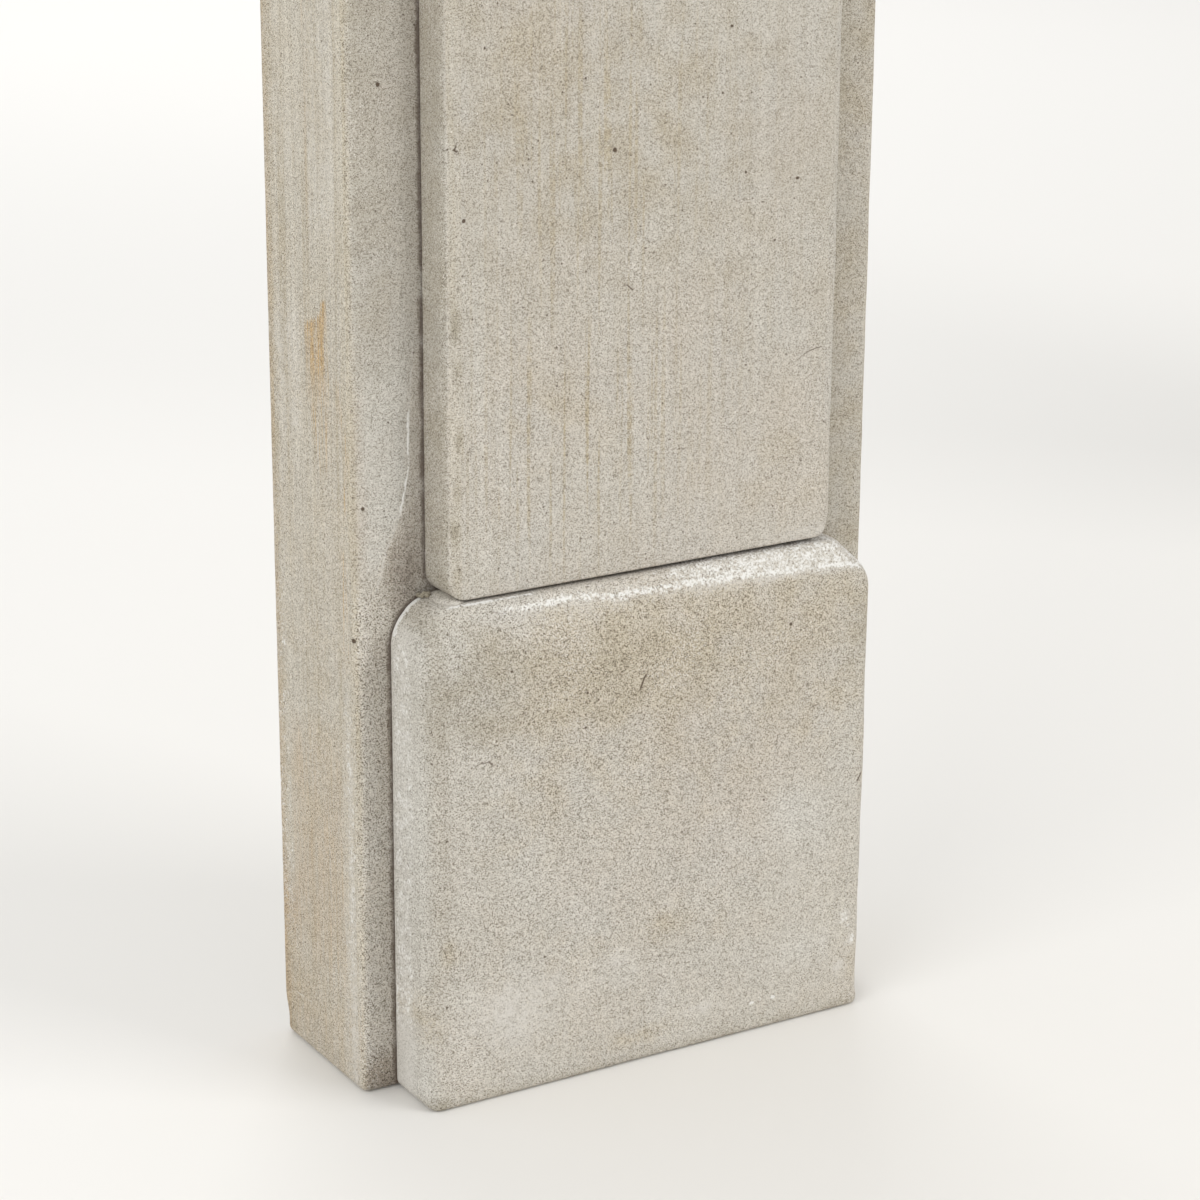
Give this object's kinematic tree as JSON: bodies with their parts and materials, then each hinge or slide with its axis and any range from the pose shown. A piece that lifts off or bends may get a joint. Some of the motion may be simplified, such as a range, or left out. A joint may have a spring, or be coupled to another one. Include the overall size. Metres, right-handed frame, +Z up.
{
  "type": "fireplace surround",
  "caption": "Plain carved stone fireplace surround with panelled legs on splayed plinth blocks, a panelled lintel and a thick mantel shelf, around a rectangular opening.",
  "frame": {"origin": "on the floor, midway between the two jambs and midway between the back face and the shelf's front edge", "axes": "+X along the wall, to the right as one faces the surround; +Y into the wall; +Z up"},
  "size_m": [1.5, 0.2, 1.1905],
  "materials": {
    "sandstone": "rubbed fine-grained stone, matt, with worn arrises, rust and lime stains"
  },
  "bodies": {
    "root": {"left_jamb_slab": "sandstone", "right_jamb_slab": "sandstone", "left_plinth_block": "sandstone", "right_plinth_block": "sandstone", "left_pilaster": "sandstone", "right_pilaster": "sandstone", "left_corner_block": "sandstone", "right_corner_block": "sandstone", "lintel_slab": "sandstone", "frieze_panel": "sandstone", "mantel_shelf": "sandstone"}
  },
  "joints": []
}
